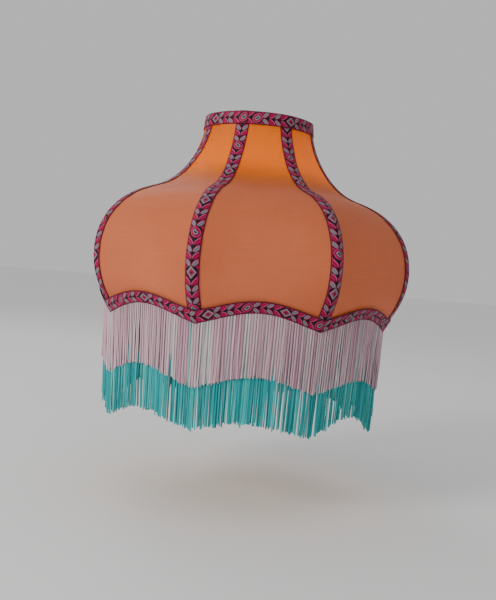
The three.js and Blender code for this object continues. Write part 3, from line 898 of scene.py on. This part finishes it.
def cap_wire(wire, sides):
    """Closes the two open ends of a wire."""
    mesh = bmesh.new()
    mesh.from_mesh(wire.data)
    mesh.verts.ensure_lookup_table()
    count = len(mesh.verts)
    for ring in (range(sides), range(count - sides, count)):
        mesh.faces.new([mesh.verts[i] for i in ring])
    bmesh.ops.recalc_face_normals(mesh, faces=mesh.faces)
    mesh.to_mesh(wire.data)
    mesh.free()


def build_wires():
    for name in ("top_ring", "shoulder_ring"):
        low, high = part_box(name)
        radius = (high[0] - low[0]) / 2 - CAD_WIRE_RADIUS
        height = (low[2] + high[2]) / 2
        count = int(2 * math.pi * radius / WIRE_STEP)
        angle = np.linspace(0, 2 * math.pi, count, endpoint=False)
        path = np.stack([radius * np.cos(angle), radius * np.sin(angle), np.full(count, height)], -1)
        bound_wire(f"bound_{name}", name, path, closed=True)
    runs = np.arange(RIB_WIRE_TOP, surface.length - RIB_WIRE_FOOT, WIRE_STEP)
    for k in range(RIBS):
        path = surface(np.full(len(runs), -HALF_PANEL + k * PANEL_TURN), runs, WIRE_DEPTH)
        bound_wire(f"bound_rib_{k + 1}", f"rib_{k + 1}", path)
        radius = surface.rib_radius[-1]
        first = -HALF_PANEL + BOTTOM_WIRE_START / radius
        last = HALF_PANEL - BOTTOM_WIRE_END / radius
        turns = np.arange(first, last, WIRE_STEP / radius)
        path = surface(turns + k * PANEL_TURN, surface.length - BOTTOM_WIRE_RISE, WIRE_DEPTH)
        bound_wire(f"bound_bottom_wire_{k + 1}", f"bottom_wire_{k + 1}", path)


def rounded_copy(name, node, body, material, width):
    """A CAD piece again with its edges rounded."""
    piece = bpy.data.objects.new(name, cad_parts[node].data.copy())
    bpy.context.scene.collection.objects.link(piece)
    piece.data.materials.clear()
    piece.data.materials.append(material)
    weld = piece.modifiers.new("weld", "WELD")
    weld.merge_threshold = 1e-5
    bevel = piece.modifiers.new("bevel", "BEVEL")
    bevel.width, bevel.segments = width, 3
    bevel.limit_method, bevel.angle_limit = "ANGLE", math.radians(35)
    piece.data.polygons.foreach_set("use_smooth", np.ones(len(piece.data.polygons), bool))
    normals = piece.modifiers.new("normals", "WEIGHTED_NORMAL")
    normals.keep_sharp = True
    ride_as(piece, body, node)


def build_fitter():
    rounded_copy("fitter_ring_pressed", "fitter_ring", "fitter", BRASS, 0.35 * MM)
    for side in ("right", "left"):
        rounded_copy(f"bent_arm_{side}", f"fitter_arm_{side}", "fitter", BRASS, 0.3 * MM)
        rounded_copy(f"hanger_clip_{side}", f"hanger_{side}", "shade", BRASS, 0.25 * MM)
        rounded_copy(f"rivet_{side}", f"pivot_rivet_{side}", "shade", STEEL, 0.2 * MM)


build_panels()
build_rib_ribbons()
bottom_ribbon, bottom_flat, teal_heading, pink_heading = build_bands()
pink_strands = build_fringe(
    "pink_strands_hanging", "pink_fringe", PINK, SECOND_LIFT + 0.4 * MM,
    loops=700, length=fringe_length("pink_fringe"), lean=3.0, radius=0.56 * MM, seed=11)
teal_strands = build_fringe(
    "teal_strands_hanging", "teal_fringe", TEAL, -1.2 * MM,
    loops=760, length=fringe_length("teal_fringe"), lean=2.8, radius=0.6 * MM, seed=23)
build_wires()
build_fitter()


# ---------------------------------------------------------------- stage and light

def build_stage():
    paint = Paint("pale_floor", roughness=0.9)
    cloud = paint.noise(paint.place(), scale=2, detail=2)
    paint.colour(paint.mix(cloud, srgb(240, 240, 240), srgb(246, 246, 246)))
    size, height = 20.0, float(cad_box[0][2]) - FLOOR_DROP
    corners = [(-size, -size, height), (size, -size, height), (size, size, height), (-size, size, height)]
    floor = new_mesh("floor", corners, [[0, 1, 2, 3]], material=paint.material)


def area_light(name, location, target, size, power, colour):
    data = bpy.data.lights.new(name, "AREA")
    data.shape, data.size, data.energy, data.color = "DISK", size, power, colour
    lamp = bpy.data.objects.new(name, data)
    bpy.context.scene.collection.objects.link(lamp)
    lamp.location = location
    lamp.rotation_mode = "QUATERNION"
    lamp.rotation_quaternion = (Vector(target) - Vector(location)).to_track_quat("-Z", "Y")


def build_bulb():
    """A reflector bulb below the neck that shines up into it."""
    bulb = bpy.data.lights.new("bulb", "SPOT")
    bulb.energy, bulb.color, bulb.shadow_soft_size = 1.35, (1, 0.7, 0.04), 0.02
    bulb.spot_size, bulb.spot_blend = math.radians(138), 0.35
    lamp = bpy.data.objects.new("bulb", bulb)
    bpy.context.scene.collection.objects.link(lamp)
    lamp.location = (0, 0, surface.height(surface.trim) - BULB_DROP)
    lamp.rotation_euler = (math.pi, 0, 0)


def build_light():
    world = bpy.data.worlds.new("studio")
    bpy.context.scene.world = world
    world.use_nodes = True
    background = world.node_tree.nodes["Background"]
    background.inputs["Color"].default_value = (1, 1, 1, 1)
    background.inputs["Strength"].default_value = 0.6
    area_light("key", location=(-2.0, -1.5, 0.7), target=(0, 0, -0.15),
               size=0.9, power=42, colour=(1, 0.98, 0.95))
    area_light("back", location=(-0.9, 2.0, 1.5), target=(0, 0, -0.1),
               size=1.2, power=8, colour=(1, 1, 1))
    build_bulb()


build_stage()
build_light()
